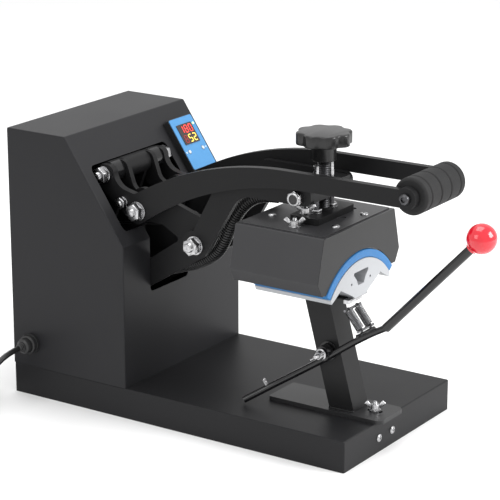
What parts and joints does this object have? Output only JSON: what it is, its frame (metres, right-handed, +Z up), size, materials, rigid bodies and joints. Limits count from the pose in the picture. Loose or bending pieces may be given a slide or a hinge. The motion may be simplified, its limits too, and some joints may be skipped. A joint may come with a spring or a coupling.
{
  "type": "cap heat press",
  "caption": "Bench heat press with an arched heater head on a toggle lever arm, a curved saddle on a post, a star pressure knob and a sheet steel control tower.",
  "frame": {"origin": "middle of the flat underside of the base tray, on the bench", "axes": "+Z up; -Y points out of the front towards the operator, where the handle and the ball lever are; +X is the operator's right"},
  "size_m": [0.363, 0.725, 0.376],
  "materials": {
    "charcoal_paint": "fine textured dark grey powder coat",
    "black_paint": "satin black powder coat over flat steel",
    "grey_paint": "smooth dark grey paint on bent sheet",
    "zinc_steel": "bright zinc plated fasteners",
    "dark_steel": "oiled dark steel pins and rods",
    "aluminium": "machined aluminium",
    "white_saddle": "white enamelled saddle",
    "blue_silicone": "matt blue silicone sponge",
    "foam": "closed cell foam sleeve",
    "black_plastic": "moulded black plastic",
    "red_plastic": "glossy red ball",
    "panel_blue": "printed blue membrane",
    "display": "tinted display window",
    "led_red": "red indicator lens",
    "cord_black": "black flexible cord",
    "conduit_black": "corrugated black conduit"
  },
  "bodies": {
    "root": {"base_tray": "charcoal_paint", "base_bottom": "charcoal_paint", "tower_shell": "charcoal_paint", "tower_back": "charcoal_paint", "case_screws": "zinc_steel", "power_switch": "black_plastic", "frame_plate_left": "black_paint", "frame_plate_right": "black_paint", "fulcrum_bolt": "zinc_steel", "saddle": "white_saddle", "silicone_pad": "blue_silicone", "post": "black_paint", "post_foot": "black_paint", "clamp_studs": "zinc_steel", "clamp_wing_nuts": "zinc_steel", "spring_anchor": "black_paint", "return_springs": "dark_steel", "control_box": "black_plastic", "control_faceplate": "panel_blue", "display_window": "display", "status_led": "led_red", "controller_module": "black_plastic", "conduit": "conduit_black", "cord_gland": "black_plastic", "cord_lead": "cord_black", "cord_coil": "cord_black", "cord_plug": "black_plastic"},
    "handle": {"handle_bar_left": "black_paint", "handle_bar_right": "black_paint", "inner_lug_left": "black_paint", "inner_lug_right": "black_paint", "rear_sleeves": "dark_steel", "rear_axle_bolt": "zinc_steel", "stop_bolts": "zinc_steel", "grip_axle": "dark_steel", "foam_grip": "foam", "grip_screws": "zinc_steel"},
    "link": {"toggle_link": "black_paint"},
    "arm": {"arm_plate_left": "black_paint", "arm_plate_right": "black_paint", "arm_pivot_bolt": "zinc_steel", "arm_tail": "black_paint", "screw_block": "black_paint", "block_bolts": "zinc_steel"},
    "head": {"head_casing": "grey_paint", "heater_block": "aluminium", "head_top_plate": "black_paint", "top_plate_screws": "zinc_steel", "head_yoke": "black_paint", "guide_rods": "zinc_steel", "levelling_nuts": "zinc_steel"},
    "knob": {"pressure_knob": "black_plastic", "pressure_screw": "dark_steel"},
    "lever": {"lever_rod": "dark_steel", "lever_tube": "black_paint", "lever_ball": "red_plastic", "lever_tip_screw": "zinc_steel"},
    "power_rocker": {"power_rocker": "black_plastic"},
    "button_left": {"button_left": "black_plastic"},
    "button_right": {"button_right": "black_plastic"}
  },
  "joints": [
    {"name": "handle_hinge", "type": "hinge", "parent": "root", "child": "handle", "pos_m": [-0.03, 0.075, 0.256], "axis": [-1, 0, 0], "range_deg": [0, 65]},
    {"name": "link_hinge", "type": "hinge", "parent": "handle", "child": "link", "pos_m": [-0.03, 0.125, 0.295], "axis": [-1, 0, 0], "range_deg": [-45, 0]},
    {"name": "arm_hinge", "type": "hinge", "parent": "root", "child": "arm", "pos_m": [-0.03, -0.003, 0.223], "axis": [-1, 0, 0], "range_deg": [0, 29], "deforming": ["conduit"]},
    {"name": "head_slide", "type": "slide", "parent": "arm", "child": "head", "axis": [0, 0, 1], "range_m": [0, 0.005]},
    {"name": "pressure_knob_turn", "type": "hinge", "parent": "head", "child": "knob", "pos_m": [-0.03, -0.155, 0.35], "axis": [0, 0, 1], "range_deg": [0, 721]},
    {"name": "clamp_lever_hinge", "type": "hinge", "parent": "root", "child": "lever", "pos_m": [-0.058, -0.176, 0.115], "axis": [1, 0, 0], "range_deg": [0, 20], "stiffness_Nm_per_rad": 2, "springref_deg": -17.19, "deforming": ["return_springs"]},
    {"name": "power_rocker_hinge", "type": "hinge", "parent": "root", "child": "power_rocker", "pos_m": [0.07, 0.2448, 0.085], "axis": [0, 0, 1], "range_deg": [0, 15]},
    {"name": "button_left_press", "type": "slide", "parent": "root", "child": "button_left", "axis": [0, 0.8258, -0.564], "range_m": [0, 0.001], "stiffness_N_per_m": 300, "springref_m": -0.001},
    {"name": "button_right_press", "type": "slide", "parent": "root", "child": "button_right", "axis": [0, 0.8258, -0.564], "range_m": [0, 0.001], "stiffness_N_per_m": 300, "springref_m": -0.001}
  ],
  "couplings": [
    {"joint": "arm_hinge", "follows": "handle_hinge", "ratio": 0.43},
    {"joint": "link_hinge", "follows": "handle_hinge", "ratio": -0.64},
    {"joint": "pressure_knob_turn", "follows": "head_slide", "rad_per_m": 2513.3}
  ]
}
